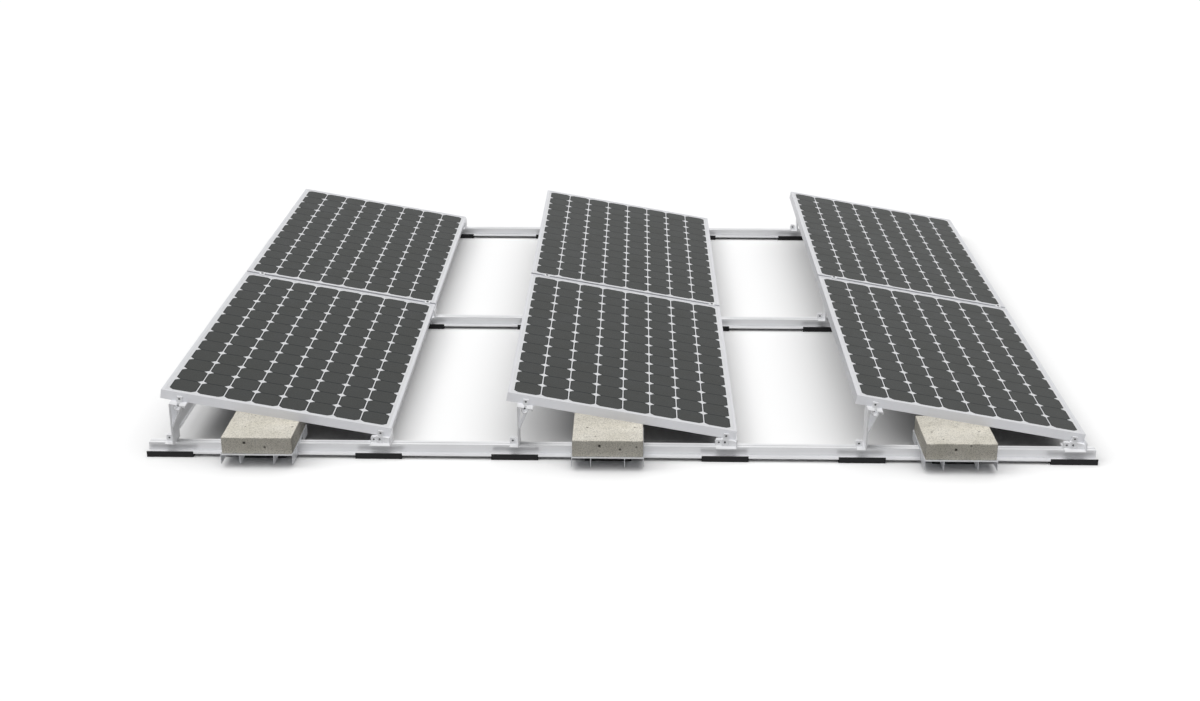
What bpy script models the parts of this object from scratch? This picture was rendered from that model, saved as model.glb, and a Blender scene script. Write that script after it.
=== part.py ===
"""Ballasted flat-roof solar mount: three tilted rows of two framed panels on three rails.

Rows run side by side along X and slope down toward +X. The panels of a row lie one behind the
other along Y, and the rails run along X under the front edge, the joint and the rear edge.
Metres, +Z up. Row values are measured from the row's own zero: X 0 is the high edge of the cell
field, Y 0 is its front edge, and heights are counted from the floor.
"""
import bpy
import bmesh
from math import cos, sin, tan, radians, pi

# fits
CLEAR = 0.0003

# layout
ROWS = 3
ROW_PITCH = 1.479175
TILT = radians(10.0)
LOW_EDGE_Z = 0.0784
END_REACH = 0.0039

# panel: size, frame section and the sheet it holds
PANEL_WIDTH = 0.992
PANEL_LENGTH = 1.650
PANEL_GAP = 0.0218
CELL_MARGIN_X = 0.0236
CELL_MARGIN_Y = 0.0261
FRAME_DEPTH = 0.040
FRAME_WALL = 0.002
LIP_WIDTH = 0.012
LIP_ABOVE_CELLS = 0.002
LAMINATE_THICK = 0.005
SHELF_WIDTH = 0.014
SHELF_THICK = 0.0016
FOOT_WIDTH = 0.028
FOOT_THICK = 0.0018

# rubber mats
MAT_LENGTH = 0.200
MAT_HALF = 0.0595
MAT_PAD = 0.014
MAT_RIM_TOP = 0.026
MAT_TALL_X = -0.094
MAT_LOW_BACK = 0.1441

# rails
RAIL_TOP = 0.052
RAIL_THICK = 0.003
RAIL_TOP_HALF = 0.0205
RAIL_FLANGE_HALF = MAT_HALF - 0.003
RAIL_GROOVE_HALF = 0.002
RAIL_GROOVE_DEEP = 0.0012

# supports, as extruded profiles standing on the rail; the low one is set from the panel's low edge
SUPPORT_HALF = 0.0495
CORE_HALF = 0.0195
PLATE_THICK = 0.004
HEAD_THICK = 0.005
WALL_THICK = 0.0055
FOOT_BOSS_SIZE = 0.025
FOOT_BOSS_HALF = 0.0105
FOOT_BOSS_Z = 0.0694
PORT_RADIUS = 0.0046
PORT_SIDES = 12
TALL_BASE_X = (-0.016, 0.0265)
TALL_FOOT_BOSS_X = -0.0045
TALL_WALL_X = 0.0195
TALL_HEAD_END = 0.0845
TALL_LIP_DEEP = 0.0095
TALL_BRANCH_LOW = 0.128
TALL_BRANCH_REACH = 0.0105
TALL_BRANCH_SINK = 0.0117
TALL_BRANCH_THICK = 0.0048
TALL_CLAMP_X = 0.0518
CHANNEL_DROP = 0.0109
CHANNEL_OUTER = 0.016
CHANNEL_INNER = 0.0118
CHANNEL_SIDES = 16
LOW_BASE_BACK = 0.0836
LOW_FOOT_BOSS_BACK = 0.0701
LOW_CLAMP_BACK = 0.0418
LOW_CORE_BACK = (0.0581, 0.0291)
LOW_CORE_BORE = 0.0095
LOW_CORE_BORE_DEEP = 0.006
LOW_BODY_BACK = 0.0272
LOW_HEAD_SHORT = 0.0006
STOP_THICK = 0.0025
STOP_ABOVE_EDGE = 0.0173
STOP_GAP = 0.0005

# clamps: one body through the head, with a screw hole above and one below the panel's underside
CLAMP_LENGTH = 0.023
CLAMP_DEEP = 0.0105
CLAMP_RISE = 0.024
CLAMP_HOLE = 0.0145
CAP_THICK = 0.003
CAP_HALF = 0.0185

# wind sheet along the high side of the first row
SHEET_THICK = 0.002
SHEET_BOTTOM = 0.087
SHEET_BELOW_PANEL = 0.001
SHEET_HEM = 0.009
SHEET_HEM_SHORT = 0.003

# ballast tray and concrete block on the front rail
BALLAST_X = 0.404
TRAY_LENGTH = 0.306
TRAY_Y = (-0.1645, 0.1615)
TRAY_LIFT = 0.005
TRAY_THICK = 0.0025
TRAY_UPSTAND = 0.0045
FIN_THICK = 0.003
INNER_FIN_OFFSET = 0.0715
FIN_BOTTOM = 0.019
FIN_INNER = MAT_HALF + 0.0025
BLOCK_PLAY = 0.0005
BLOCK_Y = (-0.1535, 0.1525)
BLOCK_HEIGHT = 0.0745
BLOCK_CHAMFER = 0.003

# derived
RAIL_BOTTOM = MAT_PAD + CLEAR
SUPPORT_BOTTOM = RAIL_TOP + CLEAR
PANEL_PAIR = 2 * PANEL_LENGTH + PANEL_GAP
RAIL_PITCH = PANEL_PAIR / 2 - END_REACH
MIDDLE_Y = PANEL_PAIR / 2 - CELL_MARGIN_Y
RAIL_Y = (MIDDLE_Y - RAIL_PITCH, MIDDLE_Y, MIDDLE_Y + RAIL_PITCH)
RAIL_NAMES = ("front", "middle", "rear")
SLOPE_LENGTH = PANEL_WIDTH - CELL_MARGIN_X
UNDER_CELLS = FRAME_DEPTH - LIP_ABOVE_CELLS
LOW_EDGE_X = SLOPE_LENGTH * cos(TILT) - UNDER_CELLS * sin(TILT)
CELL_PLANE_Z = LOW_EDGE_Z + SLOPE_LENGTH * sin(TILT) + UNDER_CELLS * cos(TILT)
MAT_LOW_X = LOW_EDGE_X - MAT_LOW_BACK
MAT_BLOCK_X = BALLAST_X - MAT_LENGTH / 2
STOP_X = LOW_EDGE_X + STOP_ABOVE_EDGE * tan(TILT) + STOP_GAP
TRAY_REST = RAIL_TOP + CLEAR
TRAY_TOP = TRAY_REST + TRAY_LIFT + TRAY_THICK
X_START = MAT_TALL_X
X_END = (ROWS - 1) * ROW_PITCH + MAT_LOW_X + MAT_LENGTH
Y_START = RAIL_Y[0] + TRAY_Y[0]
Y_END = RAIL_Y[2] + MAT_HALF
CENTRE_X = (X_START + X_END) / 2
CENTRE_Y = (Y_START + Y_END) / 2


def clear_scene():
    for item in list(bpy.data.objects):
        bpy.data.objects.remove(item, do_unlink=True)


def make_material(name, colour, roughness, metallic):
    mat = bpy.data.materials.new(name)
    mat.use_nodes = True
    shader = mat.node_tree.nodes["Principled BSDF"]
    shader.inputs["Base Color"].default_value = (colour[0], colour[1], colour[2], 1.0)
    shader.inputs["Roughness"].default_value = roughness
    shader.inputs["Metallic"].default_value = metallic
    mat.diffuse_color = (colour[0], colour[1], colour[2], 1.0)
    return mat


def frame_material():
    return make_material("panel_frame", (0.62, 0.62, 0.64), 0.38, 0.85)


def laminate_material():
    return make_material("laminate", (0.078, 0.082, 0.082), 0.12, 0.0)


def rail_material():
    return make_material("rail", (0.64, 0.64, 0.66), 0.3, 0.9)


def support_material():
    return make_material("support", (0.6, 0.6, 0.6), 0.42, 0.8)


def mat_material():
    return make_material("mat", (0.018, 0.019, 0.02), 0.85, 0.0)


def tray_material():
    return make_material("ballast_tray", (0.56, 0.57, 0.58), 0.35, 0.85)


def block_material():
    return make_material("ballast_block", (0.55, 0.53, 0.48), 0.92, 0.0)


def closed_mesh(name, bm):
    """Finish a mesh with every face turned outward."""
    bmesh.ops.recalc_face_normals(bm, faces=bm.faces)
    mesh = bpy.data.meshes.new(name)
    bm.to_mesh(mesh)
    bm.free()
    return mesh


def place(name, mesh, mat, dx=0.0, dy=0.0):
    """Put a mesh in the scene, moved from row values to the object's own centre."""
    if not mesh.materials:
        mesh.materials.append(mat)
    obj = bpy.data.objects.new(name, mesh)
    obj.location = (dx - CENTRE_X, dy - CENTRE_Y, 0.0)
    bpy.context.scene.collection.objects.link(obj)
    return obj


def extrusion(outline, low, high, axis):
    """Closed prism from a flat outline: (x, z) pairs along Y, or (y, z) pairs along X."""
    bm = bmesh.new()
    if axis == "Y":
        start = [bm.verts.new((a, low, b)) for a, b in outline]
        end = [bm.verts.new((a, high, b)) for a, b in outline]
    else:
        start = [bm.verts.new((low, a, b)) for a, b in outline]
        end = [bm.verts.new((high, a, b)) for a, b in outline]
    bm.faces.new(start)
    bm.faces.new(list(reversed(end)))
    count = len(outline)
    for i in range(count):
        j = (i + 1) % count
        bm.faces.new((start[i], end[i], end[j], start[j]))
    return bm


def box_outline(a0, a1, b0, b1):
    return [(a0, b0), (a1, b0), (a1, b1), (a0, b1)]


def ring_outline(x, z, radius, sides):
    step = 2 * pi / sides
    return [(x + radius * cos((i + 0.5) * step), z + radius * sin((i + 0.5) * step))
            for i in range(sides)]


def temporary(bm, name):
    obj = bpy.data.objects.new(name, closed_mesh(name, bm))
    obj.hide_render = True
    obj.display_type = "WIRE"
    bpy.context.scene.collection.objects.link(obj)
    return obj


def combine(name, added, cut):
    """Join solids into one closed body, then take the cutters away from it."""
    solids = [temporary(bm, name + "_part") for bm in added]
    cutters = [temporary(bm, name + "_cut") for bm in cut]
    body = solids[0]
    for other, how in [(s, "UNION") for s in solids[1:]] + [(c, "DIFFERENCE") for c in cutters]:
        modifier = body.modifiers.new("join", "BOOLEAN")
        modifier.solver = "EXACT"
        modifier.operation = how
        modifier.object = other
    bpy.context.view_layer.update()
    graph = bpy.context.evaluated_depsgraph_get()
    result = bpy.data.meshes.new_from_object(body.evaluated_get(graph))
    result.name = name
    for obj in solids + cutters:
        old = obj.data
        bpy.data.objects.remove(obj, do_unlink=True)
        bpy.data.meshes.remove(old)
    bm = bmesh.new()
    bm.from_mesh(result)
    bmesh.ops.dissolve_limit(bm, angle_limit=radians(0.05), verts=bm.verts, edges=bm.edges)
    bm.to_mesh(result)
    bm.free()
    return result


def smooth_round(mesh):
    mesh.shade_smooth()
    mesh.set_sharp_from_angle(angle=radians(35.0))


def panel_point(s, y, depth):
    """Point at s down the slope from the cell field's high edge, depth under the frame's top."""
    drop = depth - LIP_ABOVE_CELLS
    x = s * cos(TILT) - drop * sin(TILT)
    z = CELL_PLANE_Z - s * sin(TILT) - drop * cos(TILT)
    return (x, y, z)


def underside_z(x):
    """Height of the frame's underside above the floor at x."""
    corner = panel_point(-CELL_MARGIN_X, 0.0, FRAME_DEPTH)
    return corner[2] - (x - corner[0]) * tan(TILT)


def panel_limits():
    """Slope and Y limits of the front panel."""
    return (-CELL_MARGIN_X, PANEL_WIDTH - CELL_MARGIN_X, -CELL_MARGIN_Y, PANEL_LENGTH - CELL_MARGIN_Y)


def frame_section():
    """Frame section as (distance inward, depth) pairs: lip, slot for the sheet, wall and foot."""
    lip_under = LIP_ABOVE_CELLS - CLEAR
    shelf_top = LIP_ABOVE_CELLS + LAMINATE_THICK + CLEAR
    return [(0.0, 0.0), (LIP_WIDTH, 0.0), (LIP_WIDTH, lip_under), (FRAME_WALL, lip_under),
            (FRAME_WALL, shelf_top), (SHELF_WIDTH, shelf_top),
            (SHELF_WIDTH, shelf_top + SHELF_THICK), (FRAME_WALL, shelf_top + SHELF_THICK),
            (FRAME_WALL, FRAME_DEPTH - FOOT_THICK), (FOOT_WIDTH, FRAME_DEPTH - FOOT_THICK),
            (FOOT_WIDTH, FRAME_DEPTH), (0.0, FRAME_DEPTH)]


def frame_mesh():
    """Mitred ring: the section is carried round the four corners."""
    s0, s1, y0, y1 = panel_limits()
    bm = bmesh.new()
    rings = []
    for inward, depth in frame_section():
        corners = [(s0 + inward, y0 + inward), (s1 - inward, y0 + inward),
                   (s1 - inward, y1 - inward), (s0 + inward, y1 - inward)]
        rings.append([bm.verts.new(panel_point(s, y, depth)) for s, y in corners])
    count = len(rings)
    for i in range(count):
        j = (i + 1) % count
        for k in range(4):
            m = (k + 1) % 4
            bm.faces.new((rings[i][k], rings[i][m], rings[j][m], rings[j][k]))
    return closed_mesh("panel_frame", bm)


def laminate_mesh():
    s0, s1, y0, y1 = panel_limits()
    edge = FRAME_WALL + CLEAR
    top = LIP_ABOVE_CELLS
    bm = bmesh.new()
    layers = []
    for depth in (top, top + LAMINATE_THICK):
        corners = [(s0 + edge, y0 + edge), (s1 - edge, y0 + edge),
                   (s1 - edge, y1 - edge), (s0 + edge, y1 - edge)]
        layers.append([bm.verts.new(panel_point(s, y, depth)) for s, y in corners])
    bm.faces.new(layers[0])
    bm.faces.new(list(reversed(layers[1])))
    for k in range(4):
        m = (k + 1) % 4
        bm.faces.new((layers[0][k], layers[1][k], layers[1][m], layers[0][m]))
    return closed_mesh("laminate", bm)


def rail_mesh():
    """Hat section with a shallow groove along the middle of its top."""
    low = RAIL_BOTTOM
    top = RAIL_TOP
    t = RAIL_THICK
    half = [(RAIL_GROOVE_HALF, top - RAIL_GROOVE_DEEP), (RAIL_GROOVE_HALF, top), (RAIL_TOP_HALF, top),
            (RAIL_TOP_HALF, low + t), (RAIL_FLANGE_HALF, low + t), (RAIL_FLANGE_HALF, low),
            (RAIL_TOP_HALF - t, low), (RAIL_TOP_HALF - t, top - t)]
    outline = half + [(-y, z) for y, z in reversed(half)]
    return closed_mesh("rail", extrusion(outline, X_START + 0.0015, X_END - 0.0015, "X"))


def mat_mesh():
    """Rubber mat with a low rim on each side of the rail's flanges."""
    inner = RAIL_FLANGE_HALF + CLEAR
    outline = [(-MAT_HALF, 0.0), (MAT_HALF, 0.0), (MAT_HALF, MAT_RIM_TOP), (inner, MAT_RIM_TOP),
               (inner, MAT_PAD), (-inner, MAT_PAD), (-inner, MAT_RIM_TOP), (-MAT_HALF, MAT_RIM_TOP)]
    return closed_mesh("mat", extrusion(outline, 0.0, MAT_LENGTH, "X"))


def port(x, z, low, high, radius=PORT_RADIUS, sides=PORT_SIDES):
    """Round hole along Y."""
    return extrusion(ring_outline(x, z, radius, sides), low, high, "Y")


def head_plate(x0, x1, half):
    """Plate lying just under the frame and parallel to it."""
    outline = [(x0, underside_z(x0) - CLEAR - HEAD_THICK), (x1, underside_z(x1) - CLEAR - HEAD_THICK),
               (x1, underside_z(x1) - CLEAR), (x0, underside_z(x0) - CLEAR)]
    return extrusion(outline, -half, half, "Y")


def clamp_point(x, along, rise):
    """Point beside the clamp's foot at x: along the slope, and risen square to the panel."""
    return (x + along * cos(TILT) + rise * sin(TILT), underside_z(x) - along * sin(TILT) + rise * cos(TILT))


def clamp_outline(x, half, low, high):
    return [clamp_point(x, -half, low), clamp_point(x, half, low),
            clamp_point(x, half, high), clamp_point(x, -half, high)]


def clamp_parts(x, rail):
    """Clamp on the head: a block against the panel's end, or one between two panels with a cap."""
    low = -0.003
    half = CLAMP_LENGTH / 2
    if rail == "middle":
        gap = PANEL_GAP / 2 - CLEAR
        cap_low = FRAME_DEPTH + CLEAR
        cap = clamp_outline(x, half + 0.001, cap_low, cap_low + CAP_THICK)
        return [extrusion(clamp_outline(x, half, low, cap_low + 0.001), -gap, gap, "Y"),
                extrusion(cap, -CAP_HALF, CAP_HALF, "Y")]
    near = END_REACH + CLEAR
    block = clamp_outline(x, half, low, CLAMP_RISE)
    if rail == "front":
        return [extrusion(block, -near - CLAMP_DEEP, -near, "Y")]
    return [extrusion(block, near, near + CLAMP_DEEP, "Y")]


def clamp_ports(x, rail):
    """Screw hole through the clamp's foot and, at the panel's end, one through its block."""
    foot_x, foot_z = clamp_point(x, 0.0, -CLAMP_HOLE)
    holes = [port(foot_x, foot_z, -CORE_HALF - 0.001, CORE_HALF + 0.001)]
    block_x, block_z = clamp_point(x, 0.0, CLAMP_HOLE)
    end = END_REACH + CLEAR + CLAMP_DEEP + 0.001
    if rail == "front":
        holes.append(port(block_x, block_z, -end, 0.0))
    if rail == "rear":
        holes.append(port(block_x, block_z, 0.0, end))
    return holes


def base_plate(x0, x1):
    outline = box_outline(x0, x1, SUPPORT_BOTTOM, SUPPORT_BOTTOM + PLATE_THICK)
    return extrusion(outline, -SUPPORT_HALF, SUPPORT_HALF, "Y")


def foot_boss(x):
    """Short boss on the base plate, for the screw that clamps the rail."""
    half = FOOT_BOSS_SIZE / 2
    corner = 0.004
    top = FOOT_BOSS_Z + half
    low = SUPPORT_BOTTOM + 0.001
    outline = [(x - half, low), (x + half, low), (x + half, top - corner), (x + half - corner, top),
               (x - half + corner, top), (x - half, top - corner)]
    return extrusion(outline, -FOOT_BOSS_HALF, FOOT_BOSS_HALF, "Y")


def foot_port(x):
    return port(x, FOOT_BOSS_Z, -FOOT_BOSS_HALF - 0.001, FOOT_BOSS_HALF + 0.001)


def channel_outline(x):
    """Outside of the round-bottomed channel that hangs under the tall head."""
    centre_z = underside_z(x) - CHANNEL_DROP
    step = 2 * pi / CHANNEL_SIDES
    bottom = [(x + CHANNEL_OUTER * cos(pi + i * step), centre_z + CHANNEL_OUTER * sin(pi + i * step))
              for i in range(CHANNEL_SIDES // 2 + 1)]
    right = (x + CHANNEL_OUTER, underside_z(x + CHANNEL_OUTER) - CLEAR - 0.001)
    left = (x - CHANNEL_OUTER, underside_z(x - CHANNEL_OUTER) - CLEAR - 0.001)
    return bottom + [right, left]


def channel_bores(x):
    """The channel is open at both ends and at its top, as far as the clamp's foot."""
    centre_z = underside_z(x) - CHANNEL_DROP
    end = SUPPORT_HALF + 0.001
    return [port(x, centre_z, -end, -CORE_HALF, CHANNEL_INNER, CHANNEL_SIDES),
            port(x, centre_z, CORE_HALF, end, CHANNEL_INNER, CHANNEL_SIDES)]


def tall_profile(rail):
    """Tall support: base plate, upright wall, slanting branch and a head with a channel and a lip."""
    bottom = SUPPORT_BOTTOM
    y0 = -SUPPORT_HALF
    y1 = SUPPORT_HALF
    wall = TALL_WALL_X
    wall_end = wall + WALL_THICK
    upright = [(wall, bottom + 0.001), (wall_end, bottom + 0.001),
               (wall_end, underside_z(wall_end) - 0.003), (wall, underside_z(wall) - 0.003)]
    low = TALL_BRANCH_LOW
    high = underside_z(TALL_CLAMP_X) - CHANNEL_DROP - TALL_BRANCH_SINK
    reach = TALL_CLAMP_X + TALL_BRANCH_REACH
    branch = [(wall_end - TALL_BRANCH_THICK, low), (wall_end, low),
              (reach, high), (reach - TALL_BRANCH_THICK, high)]
    end = TALL_HEAD_END
    lip_x = end - HEAD_THICK
    lip = [(lip_x, underside_z(lip_x) - TALL_LIP_DEEP), (end, underside_z(end) - TALL_LIP_DEEP),
           (end, underside_z(end) - 0.002), (lip_x, underside_z(lip_x) - 0.002)]
    parts = [base_plate(*TALL_BASE_X), foot_boss(TALL_FOOT_BOSS_X), extrusion(upright, y0, y1, "Y"),
             extrusion(branch, y0, y1, "Y"), head_plate(wall, end, SUPPORT_HALF), extrusion(lip, y0, y1, "Y"),
             extrusion(channel_outline(TALL_CLAMP_X), y0, y1, "Y")]
    parts += clamp_parts(TALL_CLAMP_X, rail)
    cuts = [foot_port(TALL_FOOT_BOSS_X)] + channel_bores(TALL_CLAMP_X) + clamp_ports(TALL_CLAMP_X, rail)
    return parts, cuts


def low_profile(rail):
    """Low support: base plate, foot boss, a core that carries the head, a body and a stop."""
    bottom = SUPPORT_BOTTOM + 0.001
    edge = LOW_EDGE_X
    clamp_x = edge - LOW_CLAMP_BACK
    foot_x = edge - LOW_FOOT_BOSS_BACK
    core = (edge - LOW_CORE_BACK[0], edge - LOW_CORE_BACK[1])
    stop_end = STOP_X + STOP_THICK
    body_x = edge - LOW_BODY_BACK
    body_end = STOP_X + 0.001
    head_end = edge - LOW_HEAD_SHORT
    parts = [base_plate(edge - LOW_BASE_BACK, stop_end), foot_boss(foot_x),
             head_plate(core[0], head_end, CORE_HALF),
             extrusion([(core[0], bottom), (core[1], bottom), (core[1], underside_z(core[1]) - 0.002),
                        (core[0], underside_z(core[0]) - 0.002)], -CORE_HALF, CORE_HALF, "Y"),
             extrusion([(body_x, bottom), (body_end, bottom), (body_end, underside_z(body_end) - 0.0025),
                        (body_x, underside_z(body_x) - 0.0025)], -CORE_HALF, CORE_HALF, "Y"),
             extrusion(box_outline(STOP_X, stop_end, bottom, LOW_EDGE_Z + STOP_ABOVE_EDGE),
                       -SUPPORT_HALF, SUPPORT_HALF, "Y")]
    parts += clamp_parts(clamp_x, rail)
    bore_x, bore_z = clamp_point(clamp_x, 0.0, -CLAMP_HOLE)
    face = CORE_HALF - LOW_CORE_BORE_DEEP
    cuts = [foot_port(foot_x), port(bore_x, bore_z, -CORE_HALF - 0.001, -face, LOW_CORE_BORE),
            port(bore_x, bore_z, face, CORE_HALF + 0.001, LOW_CORE_BORE)]
    cuts += clamp_ports(clamp_x, rail)
    return parts, cuts


def sheet_parts():
    """Wind sheet behind the first row's tall supports, with a hem between them."""
    x1 = TALL_WALL_X - CLEAR
    x0 = x1 - SHEET_THICK
    top = underside_z(x0) - SHEET_BELOW_PANEL
    sheet = extrusion(box_outline(x0, x1, SHEET_BOTTOM, top),
                      -SUPPORT_HALF, 2 * RAIL_PITCH + SUPPORT_HALF, "Y")
    bond = extrusion(box_outline(x0 + 0.0005, TALL_WALL_X + 0.001, SHEET_BOTTOM + 0.01, top - 0.01),
                     -SUPPORT_HALF + 0.004, SUPPORT_HALF - 0.004, "Y")
    hems = []
    for i in range(2):
        start = i * RAIL_PITCH + SUPPORT_HALF + SHEET_HEM_SHORT
        end = (i + 1) * RAIL_PITCH - SUPPORT_HALF - SHEET_HEM_SHORT
        hem = box_outline(x1 - 0.001, x1 + SHEET_HEM, SHEET_BOTTOM, SHEET_BOTTOM + SHEET_THICK)
        hems.append(extrusion(hem, start, end, "Y"))
    return [sheet, bond] + hems


def tray_mesh():
    """Shelf over the rail with four fins that straddle it and a low upstand on each side."""
    y0, y1 = TRAY_Y
    x0 = BALLAST_X - TRAY_LENGTH / 2
    x1 = BALLAST_X + TRAY_LENGTH / 2
    under = TRAY_TOP - TRAY_THICK
    parts = [extrusion(box_outline(x0, x1, under, TRAY_TOP), y0, y1, "Y")]
    fin = [(y0, FIN_BOTTOM), (-FIN_INNER, FIN_BOTTOM), (-FIN_INNER, TRAY_REST), (FIN_INNER, TRAY_REST),
           (FIN_INNER, FIN_BOTTOM), (y1, FIN_BOTTOM), (y1, under + 0.001), (y0, under + 0.001)]
    inner = (BALLAST_X - INNER_FIN_OFFSET - FIN_THICK / 2, BALLAST_X + INNER_FIN_OFFSET - FIN_THICK / 2)
    for x in (x0, inner[0], inner[1], x1 - FIN_THICK):
        parts.append(extrusion(fin, x, x + FIN_THICK, "X"))
    for x in (x0, x1 - FIN_THICK):
        upstand = box_outline(x, x + FIN_THICK, under + 0.001, TRAY_TOP + TRAY_UPSTAND)
        parts.append(extrusion(upstand, y0, y1, "Y"))
    return combine("ballast_tray", parts, [])


def block_mesh():
    """Concrete block with its edges just broken, set between the tray's upstands."""
    low = TRAY_TOP + CLEAR
    half = TRAY_LENGTH / 2 - FIN_THICK - BLOCK_PLAY
    outline = box_outline(BALLAST_X - half, BALLAST_X + half, low, low + BLOCK_HEIGHT)
    bm = extrusion(outline, BLOCK_Y[0], BLOCK_Y[1], "Y")
    bmesh.ops.bevel(bm, geom=bm.edges[:], offset=BLOCK_CHAMFER, segments=1, affect="EDGES")
    return closed_mesh("ballast_block", bm)


def build_panels():
    frame = frame_mesh()
    laminate = laminate_mesh()
    frame_mat = frame_material()
    laminate_mat = laminate_material()
    for row in range(ROWS):
        for k, where in enumerate(("front", "rear")):
            dx = row * ROW_PITCH
            dy = k * (PANEL_LENGTH + PANEL_GAP)
            place("frame_%s_%d" % (where, row + 1), frame, frame_mat, dx, dy)
            place("laminate_%s_%d" % (where, row + 1), laminate, laminate_mat, dx, dy)


def build_rails():
    mesh = rail_mesh()
    mat = rail_material()
    for name, y in zip(RAIL_NAMES, RAIL_Y):
        place("rail_" + name, mesh, mat, 0.0, y)


def build_mats():
    mesh = mat_mesh()
    mat = mat_material()
    for row in range(ROWS):
        dx = row * ROW_PITCH
        for name, y in zip(RAIL_NAMES, RAIL_Y):
            place("mat_tall_%s_%d" % (name, row + 1), mesh, mat, dx + MAT_TALL_X, y)
            place("mat_low_%s_%d" % (name, row + 1), mesh, mat, dx + MAT_LOW_X, y)
        place("mat_ballast_%d" % (row + 1), mesh, mat, dx + MAT_BLOCK_X, RAIL_Y[0])


def build_supports():
    mat = support_material()
    for name, y in zip(RAIL_NAMES, RAIL_Y):
        solids, cuts = tall_profile(name)
        tall = combine("tall_support_" + name, solids, cuts)
        smooth_round(tall)
        solids, cuts = low_profile(name)
        low = combine("low_support_" + name, solids, cuts)
        smooth_round(low)
        for row in range(ROWS):
            dx = row * ROW_PITCH
            mesh = tall
            if row == 0 and name == "front":
                solids, cuts = tall_profile(name)
                mesh = combine("tall_support_with_sheet", solids + sheet_parts(), cuts)
                smooth_round(mesh)
            place("tall_support_%s_%d" % (name, row + 1), mesh, mat, dx, y)
            place("low_support_%s_%d" % (name, row + 1), low, mat, dx, y)


def build_ballast():
    tray = tray_mesh()
    block = block_mesh()
    tray_mat = tray_material()
    block_mat = block_material()
    for row in range(ROWS):
        dx = row * ROW_PITCH
        place("ballast_tray_%d" % (row + 1), tray, tray_mat, dx, RAIL_Y[0])
        place("ballast_block_%d" % (row + 1), block, block_mat, dx, RAIL_Y[0])


def main():
    clear_scene()
    build_panels()
    build_rails()
    build_mats()
    build_supports()
    build_ballast()


main()
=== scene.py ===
"""Finishes of the ballasted flat-roof solar mount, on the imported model.

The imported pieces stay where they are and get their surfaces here. The cells under the glass, the
concrete blocks with their pores and the clamp screws are modelled here.
"""
from math import cos, sin, tan, radians, pi
from random import Random

import bmesh
import bpy
from mathutils import Matrix, Vector, noise


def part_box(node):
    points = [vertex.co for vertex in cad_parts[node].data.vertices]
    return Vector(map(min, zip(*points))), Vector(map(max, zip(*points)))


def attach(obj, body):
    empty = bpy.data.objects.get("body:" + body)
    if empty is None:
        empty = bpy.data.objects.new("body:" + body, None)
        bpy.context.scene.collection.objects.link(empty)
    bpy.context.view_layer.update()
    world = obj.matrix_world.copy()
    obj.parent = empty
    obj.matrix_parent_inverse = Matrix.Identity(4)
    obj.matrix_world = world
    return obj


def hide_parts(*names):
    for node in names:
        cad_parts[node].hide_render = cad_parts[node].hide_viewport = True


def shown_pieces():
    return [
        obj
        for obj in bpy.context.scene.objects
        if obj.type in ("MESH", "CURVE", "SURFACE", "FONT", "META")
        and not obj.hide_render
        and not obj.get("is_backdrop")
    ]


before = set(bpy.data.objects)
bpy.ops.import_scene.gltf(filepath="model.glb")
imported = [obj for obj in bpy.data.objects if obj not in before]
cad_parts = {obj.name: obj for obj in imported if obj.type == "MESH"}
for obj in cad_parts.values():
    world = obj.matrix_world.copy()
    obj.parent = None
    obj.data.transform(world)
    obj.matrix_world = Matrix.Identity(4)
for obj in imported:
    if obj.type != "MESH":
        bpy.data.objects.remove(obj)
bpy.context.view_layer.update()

# camera of the photograph: place in metres, turn, and lens in millimetres
CAMERA_PLACE = (0.0602, -8.2165, 2.9328)
CAMERA_TURN = (radians(69.654), 0.0, radians(1.262))
CAMERA_LENS = 50.38
CAMERA_SENSOR = 36.0

# lights: where they point, how wide they spread, and how strong they are
FLOOR_LIGHT = ((0.0, 0.03, -1.0), radians(112.0), 2.85)
FLOOR_SIDE_LIGHT = ((1.2, 0.0, -1.0), radians(42.0), 0.75)
PIECE_LIGHT = ((0.10, 0.12, -1.0), radians(50.0), 2.86)
FRONT_FILL = 0.45
METAL_FRONT_FILL = 0.05
METAL_RIGHT_FILL = 0.80
METAL_LEFT_FILL = 0.70
FROM_FRONT = (0.0, 1.0, -0.15)
FROM_RIGHT = (-1.0, 0.0, -0.1)
FROM_LEFT = (1.0, 0.0, -0.1)
FILL_SPREAD = radians(20.0)
SKY_LIGHT = 0.06
FLOOR_SIZE = 60.0

# panels, in metres along the slope (X) and across it (Y)
TILT = radians(10.0)
FRAME_DEPTH = 0.040
LAMINATE_BELOW_LIP = 0.002
CELL_COLUMNS = 8
CELL_ROWS = 13
CELL_PITCH_X = 0.1181
CELL_PITCH_Y = 0.12291
CELL_START_X = 0.0236
CELL_START_Y = 0.0261
CELL_GAP_X = 0.0046
CELL_GAP_Y = 0.0001
CELL_ROUND = 0.0720
CELL_RIM = 0.0034
CELL_ARC = 72
CELL_THICK = 0.00025
FINGER_PITCH = 0.0024
PANELS = [(where, row) for row in (1, 2, 3) for where in ("front", "rear")]
PANEL_PIECES = ("frame_", "laminate_", "cells_")
METAL_PIECES = ("tall_support_", "low_support_", "ballast_tray_")

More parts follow.
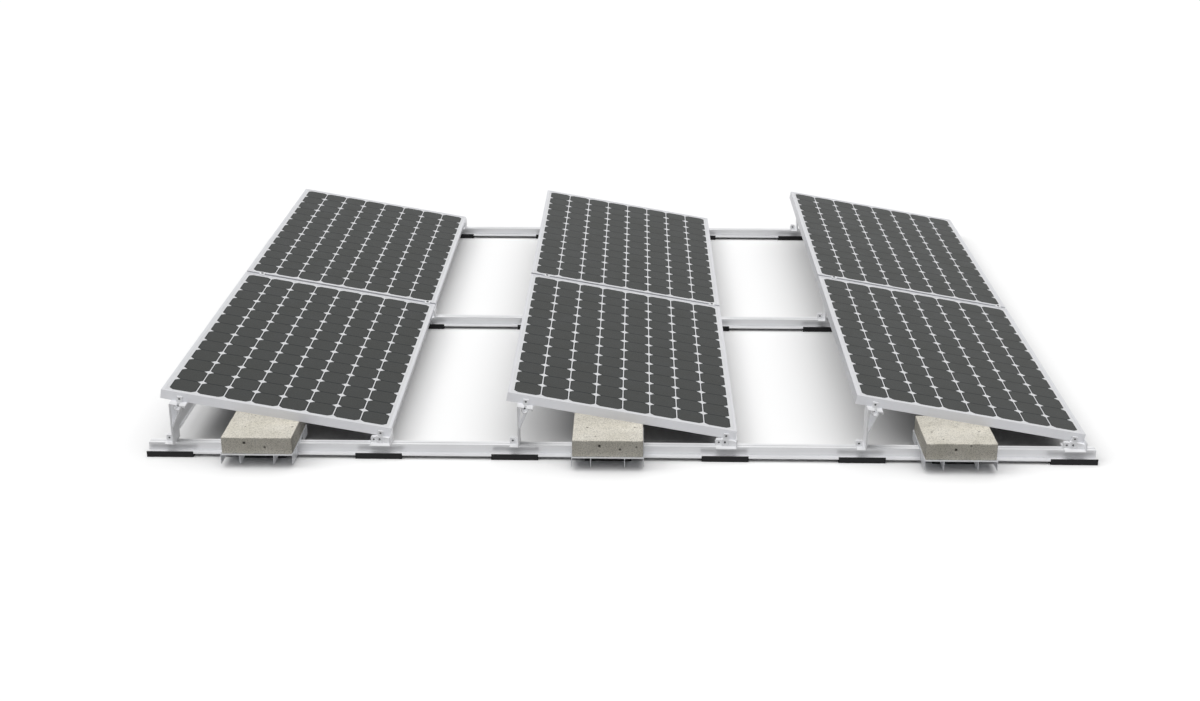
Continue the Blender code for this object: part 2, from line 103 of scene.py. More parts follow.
# screw holes in the supports, measured back from the low bottom edge of their panel
TALL_FOOT_BACK = 0.9516
TALL_CLAMP_BACK = 0.8953
LOW_FOOT_BACK = 0.0701
LOW_CLAMP_BACK = 0.0418
FOOT_HOLE_Z = 0.0694
FOOT_HOLE_HALF = 0.0105
TALL_HOLE_HALF = 0.0195
LOW_HOLE_HALF = 0.0135
CLAMP_HOLE_RISE = 0.0145
CLAMP_NEAR = 0.0042
CLAMP_DEEP = 0.0105
CAP_TOP = 0.0433
SCREW_SINK = 0.0009
SCREW_RADIUS = 0.0043
SCREW_SIDES = 12
SCREW_CHAMFER = 0.0005
SOCKET_RADIUS = 0.0022
SOCKET_DEEP = 0.0024
CAP_HEAD_RADIUS = 0.0062
CAP_HEAD_TALL = 0.0032

# concrete blocks: broken edges, uneven skin and pores
BLOCK_EDGE = 0.003
BLOCK_STEP = 0.0036
BLOCK_SWELL = 0.0007
SWELL_GRAIN = 16.0
FINE_SWELL = 0.35
FINE_GRAIN = 90.0
CHIP_GRAIN = 38.0
CHIP_START = 0.15
CHIP_DEEP = 1.6
PORE_RIM = 1.25
HIDDEN_PORES = 6
HIDDEN_PORE_RADII = (0.0018, 0.0036)
HIDDEN_PORE_DEPTH = 0.8
PORE_SIZES = {"small": 0.0037, "fair": 0.0046, "large": 0.0057}
# pores seen on each row's block: face, share of its width, share of its depth or height, and size
SEEN_PORES = {
    1: [("top", 0.27, 0.40, "small"), ("top", 0.33, 0.78, "small"), ("top", 0.94, 0.40, "fair"),
        ("front", 0.33, 0.63, "large"), ("front", 0.61, 0.38, "fair")],
    2: [("top", 0.20, 0.46, "fair"), ("top", 0.88, 0.49, "fair"), ("top", 0.33, 0.16, "small"),
        ("front", 0.38, 0.67, "large"), ("front", 0.67, 0.43, "fair"), ("front", 0.90, 0.60, "small")],
    3: [("top", 0.14, 0.42, "fair"), ("top", 0.82, 0.44, "fair"), ("top", 0.27, 0.15, "small"),
        ("front", 0.42, 0.61, "large"), ("front", 0.63, 0.85, "small")],
}


# nodes that the finishes share


def new_finish(name):
    finish = bpy.data.materials.new(name)
    finish.use_nodes = True
    tree = finish.node_tree
    return finish, tree, tree.nodes["Principled BSDF"]


def add(tree, kind, **values):
    node = tree.nodes.new(kind)
    for key, value in values.items():
        setattr(node, key, value)
    return node


def place_pattern(tree, stretch=(1.0, 1.0, 1.0), turn=(0.0, 0.0, 0.0), shift=(0.0, 0.0, 0.0)):
    """Object coordinates, turned and stretched for a pattern."""
    where = add(tree, "ShaderNodeTexCoord")
    mapping = add(tree, "ShaderNodeMapping")
    mapping.inputs["Location"].default_value = shift
    mapping.inputs["Rotation"].default_value = turn
    mapping.inputs["Scale"].default_value = stretch
    tree.links.new(where.outputs["Object"], mapping.inputs["Vector"])
    return mapping.outputs["Vector"]


def cloud(tree, vector, scale, detail=3.0, roughness=0.55):
    grain = add(tree, "ShaderNodeTexNoise")
    grain.inputs["Scale"].default_value = scale
    grain.inputs["Detail"].default_value = detail
    grain.inputs["Roughness"].default_value = roughness
    tree.links.new(vector, grain.inputs["Vector"])
    return grain.outputs["Fac"]


def ramp(tree, value, stops):
    """Colour ramp with (position, colour) stops."""
    steps = add(tree, "ShaderNodeValToRGB")
    elements = steps.color_ramp.elements
    while len(elements) < len(stops):
        elements.new(0.5)
    for element, (position, colour) in zip(elements, stops):
        element.position = position
        element.color = (colour[0], colour[1], colour[2], 1.0)
    tree.links.new(value, steps.inputs["Fac"])
    return steps.outputs["Color"]


def grey(level):
    return (level, level, level)


def spread(tree, value, low, high, out_low, out_high):
    """Value moved from one range to another."""
    change = add(tree, "ShaderNodeMapRange")
    for key, number in (("From Min", low), ("From Max", high), ("To Min", out_low), ("To Max", out_high)):
        change.inputs[key].default_value = number
    tree.links.new(value, change.inputs["Value"])
    return change.outputs["Result"]


def blend_colours(tree, factor, first, second, kind="MIX"):
    mix = add(tree, "ShaderNodeMix", data_type="RGBA", blend_type=kind)
    for key, value in ((0, factor), (6, first), (7, second)):
        if hasattr(value, "node"):
            tree.links.new(value, mix.inputs[key])
        elif key == 0:
            mix.inputs[key].default_value = value
        else:
            mix.inputs[key].default_value = (value[0], value[1], value[2], 1.0)
    return mix.outputs[2]


def count(tree, operation, first, second=0.0):
    step = add(tree, "ShaderNodeMath", operation=operation)
    for key, value in ((0, first), (1, second)):
        if hasattr(value, "node"):
            tree.links.new(value, step.inputs[key])
        else:
            step.inputs[key].default_value = value
    return step.outputs["Value"]


def raise_surface(tree, shader, height, distance, strength=1.0):
    bump = add(tree, "ShaderNodeBump")
    bump.inputs["Distance"].default_value = distance
    bump.inputs["Strength"].default_value = strength
    tree.links.new(height, bump.inputs["Height"])
    tree.links.new(bump.outputs["Normal"], shader.inputs["Normal"])


# finishes


def extruded_aluminium(name, level, along, metal=0.3, roughness=0.45):
    """Mill-finished profile: fine draw lines along the extrusion and faint handling marks."""
    finish, tree, shader = new_finish(name)
    stretch = {"X": (0.6, 60.0, 60.0), "Y": (60.0, 0.6, 60.0)}[along]
    lines = cloud(tree, place_pattern(tree, stretch), 1.0, 2.0)
    marks = cloud(tree, place_pattern(tree), 7.0, 3.0, 0.5)
    tone = count(tree, "ADD", count(tree, "MULTIPLY", lines, 0.4), count(tree, "MULTIPLY", marks, 0.6))
    colour = ramp(tree, tone, [(0.3, (level * 0.955, level * 0.96, level * 0.975)),
                               (0.7, (level * 1.02, level * 1.025, level * 1.045))])
    tree.links.new(colour, shader.inputs["Base Color"])
    dull = spread(tree, marks, 0.3, 0.7, roughness - 0.04, roughness + 0.05)
    tree.links.new(dull, shader.inputs["Roughness"])
    shader.inputs["Metallic"].default_value = metal
    return finish, tree, shader, colour


def rail_aluminium():
    """Rail: draw lines, glossier upright walls painted a little darker from mid height up as shade, and a
    darker line painted along the middle of the top as the shade of a groove.
    """
    finish, tree, shader, colour = extruded_aluminium("rail_aluminium", 0.82, "X", 0.2, 0.32)
    low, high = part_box("rail_front")
    middle = (low[1] + high[1]) / 2
    next_low, next_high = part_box("rail_middle")
    pitch = (next_low[1] + next_high[1]) / 2 - middle
    split = add(tree, "ShaderNodeSeparateXYZ")
    tree.links.new(place_pattern(tree), split.inputs["Vector"])
    share = spread(tree, split.outputs["Z"], low[2], high[2], 0.0, 1.0)
    # painted shade: the upright walls from mid height up are a little darker than the foot and the top
    painted_web_shade = ramp(tree, share, [(0.0, grey(1.0)), (0.30, grey(1.0)), (0.52, grey(0.95)), (0.92, grey(0.95)),
                              (0.975, grey(1.0))])
    # painted shade: a darker line along the middle of the top, standing in for the shade of a groove
    turns = count(tree, "DIVIDE", count(tree, "SUBTRACT", split.outputs["Y"], middle), pitch)
    away = count(tree, "MULTIPLY", count(tree, "PINGPONG", turns, 0.5), pitch)
    line = ramp(tree, spread(tree, away, 0.0, 0.02, 0.0, 1.0), [(0.15, grey(0.84)), (0.3, grey(1.0))])
    web_shaded = blend_colours(tree, 1.0, colour, painted_web_shade, "MULTIPLY")
    tree.links.new(blend_colours(tree, 1.0, web_shaded, line, "MULTIPLY"), shader.inputs["Base Color"])
    gloss = spread(tree, share, 0.955, 0.975, 0.5, 0.06)
    tree.links.new(gloss, shader.inputs["Metallic"])
    return finish


def dark_screw_steel():
    """Blackened steel of the socket screws, with a faint sheen and fine grain. Its near-black colour also
    stands in as painted shade deep in the screw ports.
    """
    finish, tree, shader = new_finish("dark_screw_steel")
    grain = cloud(tree, place_pattern(tree), 900.0, 2.0)
    # near-black colour: the steel's own, and painted shade for the ports
    colour = ramp(tree, grain, [(0.3, (0.06, 0.061, 0.063)), (0.7, (0.10, 0.101, 0.105))])
    tree.links.new(colour, shader.inputs["Base Color"])
    tree.links.new(spread(tree, grain, 0.3, 0.7, 0.42, 0.55), shader.inputs["Roughness"])
    shader.inputs["Metallic"].default_value = 0.4
    return finish


def anodised_frame():
    """Silver anodised panel frame: an even, very fine satin grain."""
    finish, tree, shader = new_finish("anodised_frame")
    grain = cloud(tree, place_pattern(tree, (420.0, 420.0, 420.0)), 1.0, 2.0)
    cast = cloud(tree, place_pattern(tree), 3.5, 3.0)
    colour = ramp(tree, cast, [(0.25, (0.685, 0.69, 0.715)), (0.75, (0.74, 0.745, 0.77))])
    tree.links.new(colour, shader.inputs["Base Color"])
    tree.links.new(spread(tree, grain, 0.3, 0.7, 0.36, 0.46), shader.inputs["Roughness"])
    shader.inputs["Metallic"].default_value = 0.55
    raise_surface(tree, shader, grain, 0.00004, 0.4)
    return finish


def backing_under_glass():
    """Backing film: white where it shows around the cells, and painted near black on its rear face as
    shade, so that the rear throws no light onto the floor under the panels.

    The depth is measured square to the floor from each panel's rear face. All rows share one slope, so
    the height of a point, with its X along the slope taken off, repeats from row to row.
    """
    finish, tree, shader = new_finish("backing_under_glass")
    flat = place_pattern(tree)
    cast = cloud(tree, flat, 6.0, 3.0)
    white = ramp(tree, cast, [(0.3, (0.64, 0.645, 0.66)), (0.7, (0.70, 0.705, 0.72))])
    # painted shade: near-black colour for the rear face
    dark = ramp(tree, cast, [(0.3, (0.030, 0.031, 0.033)), (0.7, (0.042, 0.043, 0.046))])
    low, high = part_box("laminate_front_1")
    under = low[2] + high[0] * tan(TILT)
    thick = high[2] + low[0] * tan(TILT) - under
    step = (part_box("laminate_front_2")[0][0] - low[0]) * tan(TILT)
    split = add(tree, "ShaderNodeSeparateXYZ")
    tree.links.new(flat, split.inputs["Vector"])
    rise = count(tree, "ADD", split.outputs["Z"], count(tree, "MULTIPLY", split.outputs["X"], tan(TILT)))
    above = count(tree, "SUBTRACT", rise, under)
    depth = count(tree, "MODULO", count(tree, "ADD", above, 4 * step + thick), step)
    # 0 on the rear face, where the painted shade goes, and 1 towards the front
    front = spread(tree, depth, thick * 1.3, thick * 1.5, 0.0, 1.0)
    tree.links.new(blend_colours(tree, front, dark, white), shader.inputs["Base Color"])
    shader.inputs["Roughness"].default_value = 0.5
    shader.inputs["Coat Weight"].default_value = 0.25
    shader.inputs["Coat Roughness"].default_value = 0.12
    return finish


def silicon_cells():
    """Dark cells with fine silver fingers across them and slight changes from cell to cell."""
    finish, tree, shader = new_finish("silicon_cells")
    flat = place_pattern(tree, turn=(0.0, -TILT, 0.0))
    patch = cloud(tree, flat, 7.0, 2.0)
    split = add(tree, "ShaderNodeSeparateXYZ")
    tree.links.new(flat, split.inputs["Vector"])
    wave = count(tree, "SINE", count(tree, "MULTIPLY", split.outputs["Y"], 2 * pi / FINGER_PITCH))
    finger = spread(tree, wave, 0.86, 0.97, 0.0, 1.0)
    body = ramp(tree, patch, [(0.3, (0.028, 0.0305, 0.0298)), (0.7, (0.036, 0.038, 0.0358))])
    colour = blend_colours(tree, count(tree, "MULTIPLY", finger, 0.28), body, (0.16, 0.165, 0.16))
    tree.links.new(colour, shader.inputs["Base Color"])
    tree.links.new(spread(tree, patch, 0.3, 0.7, 0.42, 0.5), shader.inputs["Roughness"])
    shader.inputs["Specular IOR Level"].default_value = 0.09
    shader.inputs["Coat Weight"].default_value = 0.01
    shader.inputs["Coat Roughness"].default_value = 0.12
    return finish


def cell_rim():
    """Bare silicon along a cell's edge, where the silver fingers stop."""
    finish, tree, shader = new_finish("cell_rim")
    patch = cloud(tree, place_pattern(tree), 60.0, 2.0)
    tree.links.new(ramp(tree, patch, [(0.3, (0.008, 0.010, 0.011)), (0.7, (0.014, 0.016, 0.017))]),
                   shader.inputs["Base Color"])
    shader.inputs["Roughness"].default_value = 0.5
    shader.inputs["Specular IOR Level"].default_value = 0.08
    return finish


def rubber_granulate():
    """Pressed rubber crumb: dark grains of slightly different tone and a rough face."""
    finish, tree, shader = new_finish("rubber_granulate")
    vector = place_pattern(tree)
    crumb = add(tree, "ShaderNodeTexVoronoi")
    crumb.inputs["Scale"].default_value = 420.0
    tree.links.new(vector, crumb.inputs["Vector"])
    tone = cloud(tree, vector, 300.0, 2.0)
    colour = ramp(tree, tone, [(0.35, (0.005, 0.005, 0.006)), (0.62, (0.011, 0.011, 0.012)),
                               (0.75, (0.028, 0.028, 0.03))])
    tree.links.new(colour, shader.inputs["Base Color"])
    shader.inputs["Roughness"].default_value = 0.8
    raise_surface(tree, shader, crumb.outputs["Distance"], 0.0006, 0.7)
    return finish


def galvanised_sheet():
    """Zinc-coated steel with soft spangle."""
    finish, tree, shader = new_finish("galvanised_sheet")
    vector = place_pattern(tree)
    spangle = add(tree, "ShaderNodeTexVoronoi")
    spangle.inputs["Scale"].default_value = 95.0
    tree.links.new(vector, spangle.inputs["Vector"])
    tone = add(tree, "ShaderNodeSeparateColor")
    tree.links.new(spangle.outputs["Color"], tone.inputs["Color"])
    colour = ramp(tree, tone.outputs["Red"], [(0.0, (0.60, 0.61, 0.63)), (1.0, (0.70, 0.71, 0.73))])
    tree.links.new(colour, shader.inputs["Base Color"])
    tree.links.new(spread(tree, tone.outputs["Green"], 0.0, 1.0, 0.32, 0.46), shader.inputs["Roughness"])
    shader.inputs["Metallic"].default_value = 0.2
    return finish


def cast_concrete():
    """Cast concrete: clouded cement skin, sand grains and painted shade on the floor of its pores."""
    finish, tree, shader = new_finish("cast_concrete")
    vector = place_pattern(tree)
    clouds = cloud(tree, vector, 11.0, 5.0, 0.6)
    sand = cloud(tree, vector, 190.0, 2.0, 0.6)
    stain = cloud(tree, place_pattern(tree, shift=(3.1, 1.7, 0.4)), 28.0, 4.0, 0.6)
    skin = ramp(tree, clouds, [(0.30, (0.63, 0.606, 0.530)), (0.5, (0.695, 0.667, 0.595)),
                               (0.72, (0.733, 0.709, 0.642))])
    grains = cloud(tree, place_pattern(tree, shift=(0.7, 0.2, 0.9)), 430.0, 1.0, 0.5)
    speck = ramp(tree, sand, [(0.38, grey(0.62)), (0.47, grey(0.98)), (0.60, grey(1.05))])
    skin = blend_colours(tree, 0.8, skin, speck, "MULTIPLY")
    speck = ramp(tree, grains, [(0.36, (0.74, 0.73, 0.70)), (0.47, grey(1.0)), (0.62, (1.06, 1.05, 1.04))])
    skin = blend_colours(tree, 0.8, skin, speck, "MULTIPLY")
    stains = ramp(tree, stain, [(0.28, grey(0.86)), (0.45, grey(1.0))])
    skin = blend_colours(tree, 1.0, skin, stains, "MULTIPLY")
    # painted shade: pores are darkened towards near black as deep as they dip
    depth = add(tree, "ShaderNodeAttribute", attribute_name="pore_depth")
    colour = blend_colours(tree, depth.outputs["Fac"], skin, (0.035, 0.033, 0.028))
    tree.links.new(colour, shader.inputs["Base Color"])
    shader.inputs["Roughness"].default_value = 0.9
    shader.inputs["Specular IOR Level"].default_value = 0.25
    raise_surface(tree, shader, sand, 0.0008, 0.5)
    return finish


# pieces modelled here


def keep_mesh(name, bm, finish, smooth_over=None):
    """Turn a finished bmesh into a piece that rides on the frame."""
    mesh = bpy.data.meshes.new(name)
    bm.to_mesh(mesh)
    bm.free()
    mesh.materials.append(finish)
    if smooth_over is not None:
        mesh.shade_smooth()
        mesh.set_sharp_from_angle(angle=smooth_over)
    piece = bpy.data.objects.new(name, mesh)
    bpy.context.scene.collection.objects.link(piece)
    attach(piece, "root")
    return piece


def panel_place(frame_node):
    """Matrix from a panel's own flat, with zero at its high front top corner, to the frame."""
    low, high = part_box(frame_node)
    corner = Vector((low[0] + FRAME_DEPTH * sin(TILT), low[1], high[2]))
    return Matrix.Translation(corner) @ Matrix.Rotation(TILT, 4, "Y")


def one_cell(bm):
    """Square cell cut from a round wafer, so that its corners are arcs."""
    bmesh.ops.create_circle(bm, cap_ends=True, segments=CELL_ARC, radius=CELL_ROUND)
    half_x = (CELL_PITCH_X - CELL_GAP_X) / 2
    half_y = (CELL_PITCH_Y - CELL_GAP_Y) / 2
    sides = (((1, 0, 0), half_x), ((-1, 0, 0), half_x), ((0, 1, 0), half_y), ((0, -1, 0), half_y))
    for direction, half in sides:
        bmesh.ops.bisect_plane(bm, geom=bm.verts[:] + bm.edges[:] + bm.faces[:], dist=1e-6,
                               plane_co=Vector(direction) * half, plane_no=direction, clear_outer=True)
    raised = bmesh.ops.extrude_face_region(bm, geom=bm.faces[:])
    top = [item for item in raised["geom"] if isinstance(item, bmesh.types.BMVert)]
    bmesh.ops.translate(bm, verts=top, vec=(0.0, 0.0, CELL_THICK))
    bmesh.ops.recalc_face_normals(bm, faces=bm.faces)
    face = max(bm.faces, key=lambda face: face.calc_center_median().z)
    for ring in bmesh.ops.inset_region(bm, faces=[face], thickness=CELL_RIM)["faces"]:
        ring.material_index = 1


def cell_field(where, row, finish, rim_finish):
    """All the cells of one panel, set in its glass."""
    bm = bmesh.new()
    one_cell(bm)
    first = bm.verts[:] + bm.edges[:] + bm.faces[:]
    for column in range(CELL_COLUMNS):
        for line in range(CELL_ROWS):
            if column or line:
                copy = bmesh.ops.duplicate(bm, geom=first)
                verts = [item for item in copy["geom"] if isinstance(item, bmesh.types.BMVert)]
                bmesh.ops.translate(bm, verts=verts, vec=(column * CELL_PITCH_X, line * CELL_PITCH_Y, 0.0))
    start = Vector((CELL_START_X + CELL_PITCH_X / 2, CELL_START_Y + CELL_PITCH_Y / 2,
                    -LAMINATE_BELOW_LIP - CELL_THICK / 2))
    bmesh.ops.transform(bm, matrix=panel_place("frame_%s_%d" % (where, row)) @ Matrix.Translation(start),
                        verts=bm.verts)
    bmesh.ops.recalc_face_normals(bm, faces=bm.faces)
    piece = keep_mesh("cells_%s_%d" % (where, row), bm, finish)
    piece.data.materials.append(rim_finish)
    return piece


def pore_spots(row, low, high):
    """Pores of a block: those seen on its top and front, and a few more on the other faces.

    Each is moved to a corner of the block's fine grid, so that it comes out round.
    """
    draw = Random(100 + row)
    size = high - low
    spots = []
    for face, across, up, kind in SEEN_PORES[row]:
        place = Vector((low.x + across * size.x, low.y + up * size.y, high.z))
        if face == "front":
            place = Vector((low.x + across * size.x, low.y, low.z + up * size.z))
        spots.append((place, PORE_SIZES[kind], PORE_SIZES[kind]))
    for _ in range(HIDDEN_PORES):
        across = draw.uniform(0.08, 0.92)
        up = draw.uniform(0.1, 0.9)
        place = draw.choice([Vector((low.x + across * size.x, high.y, low.z + up * size.z)),
                             Vector((low.x, low.y + across * size.y, low.z + up * size.z)),
                             Vector((high.x, low.y + across * size.y, low.z + up * size.z))])
        radius = draw.uniform(*HIDDEN_PORE_RADII)
        spots.append((place, radius, radius * HIDDEN_PORE_DEPTH))
    for place, _, _ in spots:
        for axis in range(3):
            steps = int(size[axis] / BLOCK_STEP)
            share = (place[axis] - low[axis]) / size[axis]
            place[axis] = low[axis] + size[axis] * round(share * steps) / steps
    return spots


def concrete_block(row, finish):
    """Cast block with broken edges, slightly uneven faces and open pores."""
    node = "ballast_block_%d" % row
    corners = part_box(node)
    low = Vector(corners[0])
    high = Vector(corners[1])
    size = high - low
    middle = (high + low) / 2
    bm = bmesh.new()
    bmesh.ops.create_cube(bm, size=1.0)
    bmesh.ops.scale(bm, vec=size, verts=bm.verts)
    bmesh.ops.translate(bm, vec=middle, verts=bm.verts)
    for axis in range(3):
        steps = int(size[axis] / BLOCK_STEP)
        normal = Vector((0.0, 0.0, 0.0))
        normal[axis] = 1.0
        for i in range(1, steps):
            place = low.copy()
            place[axis] = low[axis] + size[axis] * i / steps
            bmesh.ops.bisect_plane(bm, geom=bm.verts[:] + bm.edges[:] + bm.faces[:], dist=1e-7,
                                   plane_co=place, plane_no=normal)
    spots = pore_spots(row, low, high)
    # how deep each point dips into a pore, kept for the painted pore shade
    layer = bm.verts.layers.float.new("pore_depth")
    for vert in bm.verts:
        inner = Vector([min(max(vert.co[k], low[k] + BLOCK_EDGE), high[k] - BLOCK_EDGE) for k in range(3)])
        out = vert.co - inner
        at_edge = sum(1 for k in range(3) if abs(out[k]) > 1e-6) > 1
        chip = max(0.0, noise.noise(vert.co * CHIP_GRAIN + Vector((row, 0, 0))) - CHIP_START) * CHIP_DEEP
        radius = BLOCK_EDGE * (1.0 - (chip if at_edge else 0.0))
        direction = out.normalized() if out.length > 1e-9 else Vector((0, 0, 1))
        swell = BLOCK_SWELL * (0.5 + 0.5 * noise.noise(vert.co * SWELL_GRAIN))
        swell += BLOCK_SWELL * FINE_SWELL * (0.5 + 0.5 * noise.noise(vert.co * FINE_GRAIN))
        place = inner + direction * (radius - swell)
        for spot, reach, depth in spots:
            gap = (vert.co - spot).length
            if gap < reach * PORE_RIM:
                dip = max(0.0, 1.0 - (gap / (reach * PORE_RIM)) ** 2)
                place -= direction * depth * dip
                vert[layer] = max(vert[layer], min(1.0, dip * 1.3))
        vert.co = place
    bmesh.ops.recalc_face_normals(bm, faces=bm.faces)
    piece = keep_mesh("concrete_" + str(row), bm, finish, radians(50.0))
    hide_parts(node)
    return piece


def low_edge(row):
    """Low bottom edge of a row's panels, in X and Z."""
    low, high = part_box("frame_front_%d" % row)
    return high[0] - FRAME_DEPTH * sin(TILT), low[2]


def square_to_panel(row, back, rise, y):
    """Place risen square to the panel's underside from a spot back from its low edge."""
    edge_x, edge_z = low_edge(row)
    return Vector((edge_x - back + rise * sin(TILT), y, edge_z + back * tan(TILT) + rise * cos(TILT)))


def one_screw(bm, turned, length, radius):
    """Socket screw: its head looks along the turned Z and its shank runs back from there."""
    others = set(bm.faces)
    bmesh.ops.create_circle(bm, cap_ends=True, segments=SCREW_SIDES, radius=radius)
    raised = bmesh.ops.extrude_face_region(bm, geom=[face for face in bm.faces if face not in others])
    back = [item for item in raised["geom"] if isinstance(item, bmesh.types.BMVert)]
    bmesh.ops.translate(bm, verts=back, vec=(0.0, 0.0, -length))
    own = [face for face in bm.faces if face not in others]
    bmesh.ops.recalc_face_normals(bm, faces=own)
    rims = [edge for face in own if len(face.verts) == SCREW_SIDES for edge in face.edges]
    bmesh.ops.bevel(bm, geom=rims, offset=SCREW_CHAMFER, affect="EDGES", segments=1, profile=0.5,
                    material=-1)
    own = [face for face in bm.faces if face not in others]
    head = max(own, key=lambda face: face.calc_center_median().z)
    bmesh.ops.inset_region(bm, faces=[head], thickness=radius - SCREW_CHAMFER - SOCKET_RADIUS)
    middle = head.calc_center_median()
    for vert in list(head.verts)[::2]:
        vert.co = middle + (vert.co - middle) * cos(pi / 6)
    bmesh.ops.inset_region(bm, faces=[head], thickness=0.0001, depth=-SOCKET_DEEP)
    verts = list({vert for face in bm.faces if face not in others for vert in face.verts})
    bmesh.ops.transform(bm, matrix=turned, verts=verts)


def screw_set(kind, rail, row, finish):
    """Screws of one support: through its foot, through the clamp's foot and in the clamp itself."""
    low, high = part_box("rail_" + rail)
    y = (low[1] + high[1]) / 2
    tall = kind == "tall"
    edge_x = low_edge(row)[0]
    foot_back, clamp_back = (TALL_FOOT_BACK, TALL_CLAMP_BACK) if tall else (LOW_FOOT_BACK, LOW_CLAMP_BACK)
    half = TALL_HOLE_HALF if tall else LOW_HOLE_HALF
    front = Matrix.Rotation(pi / 2, 4, "X")
    bm = bmesh.new()
    for place, reach in ((Vector((edge_x - foot_back, y, FOOT_HOLE_Z)), FOOT_HOLE_HALF),
                         (square_to_panel(row, clamp_back, -CLAMP_HOLE_RISE, y), half)):
        place.y -= reach - SCREW_SINK
        one_screw(bm, Matrix.Translation(place) @ front, 2 * (reach - SCREW_SINK), SCREW_RADIUS)
    if rail == "middle":
        place = square_to_panel(row, clamp_back, CAP_TOP + CAP_HEAD_TALL, y)
        turned = Matrix.Translation(place) @ Matrix.Rotation(TILT, 4, "Y")
        one_screw(bm, turned, CAP_HEAD_TALL - 0.0001, CAP_HEAD_RADIUS)
    else:
        start = CLAMP_NEAR + CLAMP_DEEP if rail == "front" else -CLAMP_NEAR
        place = square_to_panel(row, clamp_back, CLAMP_HOLE_RISE, y - start + SCREW_SINK)
        one_screw(bm, Matrix.Translation(place) @ front, CLAMP_DEEP - 2 * SCREW_SINK, SCREW_RADIUS)
    return keep_mesh("screws_%s_%s_%d" % (kind, rail, row), bm, finish, radians(35.0))


# floor, surroundings, lights and camera


def soft_floor():
    """Pale floor: white to the eye and in reflections, and it keeps the shadows."""
    bm = bmesh.new()
    bmesh.ops.create_grid(bm, x_segments=1, y_segments=1, size=FLOOR_SIZE)
    mesh = bpy.data.meshes.new("floor")
    bm.to_mesh(mesh)
    bm.free()
    floor = bpy.data.objects.new("floor", mesh)
    bpy.context.scene.collection.objects.link(floor)
    finish, tree, shader = new_finish("floor_white")
    path = add(tree, "ShaderNodeLightPath")
    seen = count(tree, "MAXIMUM", path.outputs["Is Camera Ray"], path.outputs["Is Glossy Ray"])
    colour = blend_colours(tree, seen, grey(0.05), grey(0.93))
    tree.links.new(colour, shader.inputs["Base Color"])
    shader.inputs["Roughness"].default_value = 1.0
    shader.inputs["Specular IOR Level"].default_value = 0.0
    mesh.materials.append(finish)
    floor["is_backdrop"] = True
    return floor


def even_sky():
    """White all round to the eye and in metal and glass, and softer as light."""
    world = bpy.data.worlds.new("studio")
    bpy.context.scene.world = world
    world.use_nodes = True
    tree = world.node_tree
    background = tree.nodes["Background"]
    path = add(tree, "ShaderNodeLightPath")
    seen = count(tree, "MAXIMUM", path.outputs["Is Camera Ray"],
                 count(tree, "MAXIMUM", path.outputs["Is Glossy Ray"], path.outputs["Is Transmission Ray"]))
    background.inputs["Color"].default_value = (1.0, 1.0, 1.0, 1.0)
    tree.links.new(spread(tree, seen, 0.0, 1.0, SKY_LIGHT, 1.0), background.inputs["Strength"])


def gather(name, objects):
    group = bpy.data.collections.new(name)
    for obj in objects:
        group.objects.link(obj)
    return group


def wide_light(name, light, lit, shading=None):
    """Broad even light on the lit objects only, unseen in metal and glass."""
    direction, spread_angle, strength = light
    lamp = bpy.data.lights.new(name, "SUN")
    lamp.angle = spread_angle
    lamp.energy = strength
    obj = bpy.data.objects.new(name, lamp)
    obj.rotation_euler = Vector(direction).to_track_quat("-Z", "Y").to_euler()
    obj.visible_glossy = False
    bpy.context.scene.collection.objects.link(obj)
    obj.light_linking.receiver_collection = gather(name + "_lit", lit)
    if shading is not None:
        obj.light_linking.blocker_collection = gather(name + "_shading", shading)
    return lamp


def fill_light(name, direction, strength, lit):
    """Weak light from the side that throws no shade."""
    wide_light(name, (direction, FILL_SPREAD, strength), lit).use_shadow = False


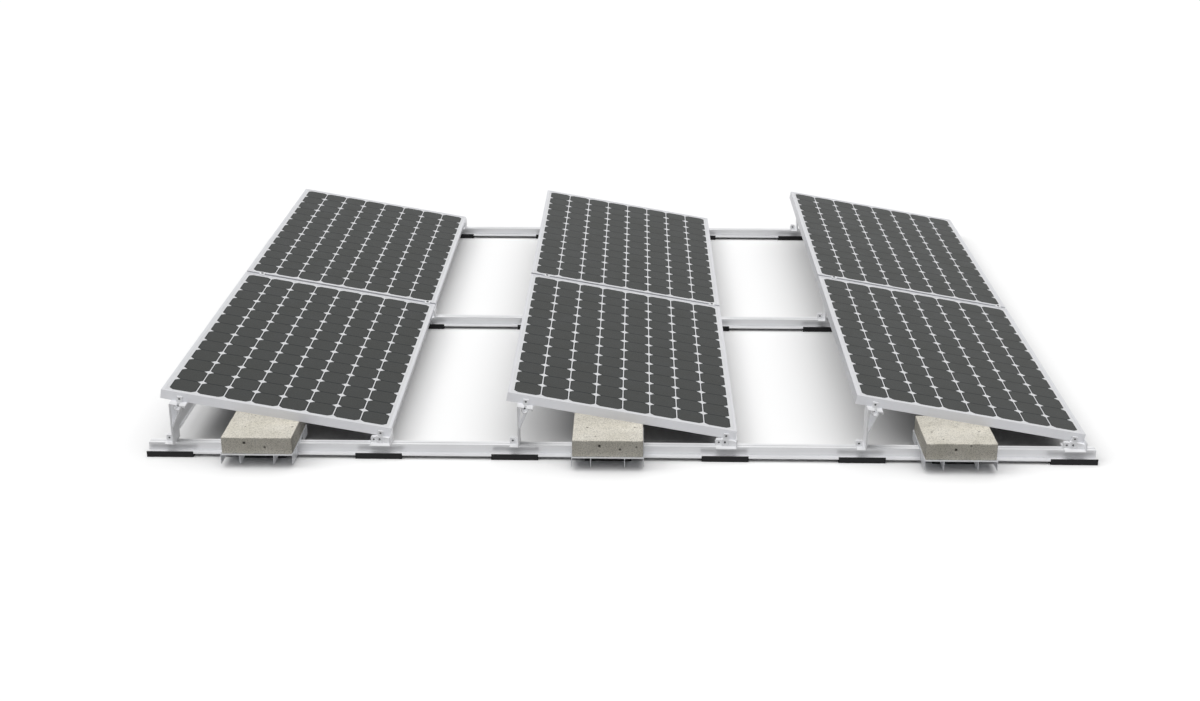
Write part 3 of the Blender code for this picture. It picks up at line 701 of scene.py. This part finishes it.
def light_studio(floor, shown):
    """Lights for the floor, for all the pieces, and fills for the upright metal."""
    open_to_light = [piece for piece in shown if not piece.name.startswith(PANEL_PIECES)]
    metal = [piece for piece in shown if piece.name.startswith(METAL_PIECES)]
    wide_light("floor_light", FLOOR_LIGHT, [floor])
    wide_light("floor_side_light", FLOOR_SIDE_LIGHT, [floor])
    wide_light("piece_light", PIECE_LIGHT, shown, open_to_light)
    fill_light("front_fill", FROM_FRONT, FRONT_FILL, shown)
    fill_light("metal_front_fill", FROM_FRONT, METAL_FRONT_FILL, metal)
    fill_light("metal_right_fill", FROM_RIGHT, METAL_RIGHT_FILL, metal)
    fill_light("metal_left_fill", FROM_LEFT, METAL_LEFT_FILL, metal)


def photo_camera():
    data = bpy.data.cameras.new("camera")
    data.lens = CAMERA_LENS
    data.sensor_width = CAMERA_SENSOR
    data.clip_end = 200.0
    camera = bpy.data.objects.new("camera", data)
    camera.location = CAMERA_PLACE
    camera.rotation_euler = CAMERA_TURN
    bpy.context.scene.collection.objects.link(camera)
    bpy.context.scene.camera = camera


# everything put together


def dress_frame_pieces():
    frame_finish = anodised_frame()
    backing = backing_under_glass()
    rail_finish = rail_aluminium()
    support_finish = extruded_aluminium("support_aluminium", 0.77, "Y", 0.15, 0.45)[0]
    tray_finish = galvanised_sheet()
    mat_finish = rubber_granulate()
    by_start = (("frame_", frame_finish), ("laminate_", backing), ("rail_", rail_finish),
                ("tall_support_", support_finish), ("low_support_", support_finish),
                ("mat_", mat_finish), ("ballast_tray_", tray_finish))
    for name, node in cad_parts.items():
        for start, finish in by_start:
            if name.startswith(start):
                for slot in node.material_slots:
                    slot.material = finish


def main():
    dress_frame_pieces()
    silicon = silicon_cells()
    rim = cell_rim()
    for where, row in PANELS:
        cell_field(where, row, silicon, rim)
    concrete = cast_concrete()
    steel = dark_screw_steel()
    for row in (1, 2, 3):
        concrete_block(row, concrete)
        for rail in ("front", "middle", "rear"):
            for kind in ("tall", "low"):
                screw_set(kind, rail, row, steel)
    floor = soft_floor()
    even_sky()
    light_studio(floor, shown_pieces())
    photo_camera()
    bpy.context.scene.view_settings.view_transform = "Standard"


main()
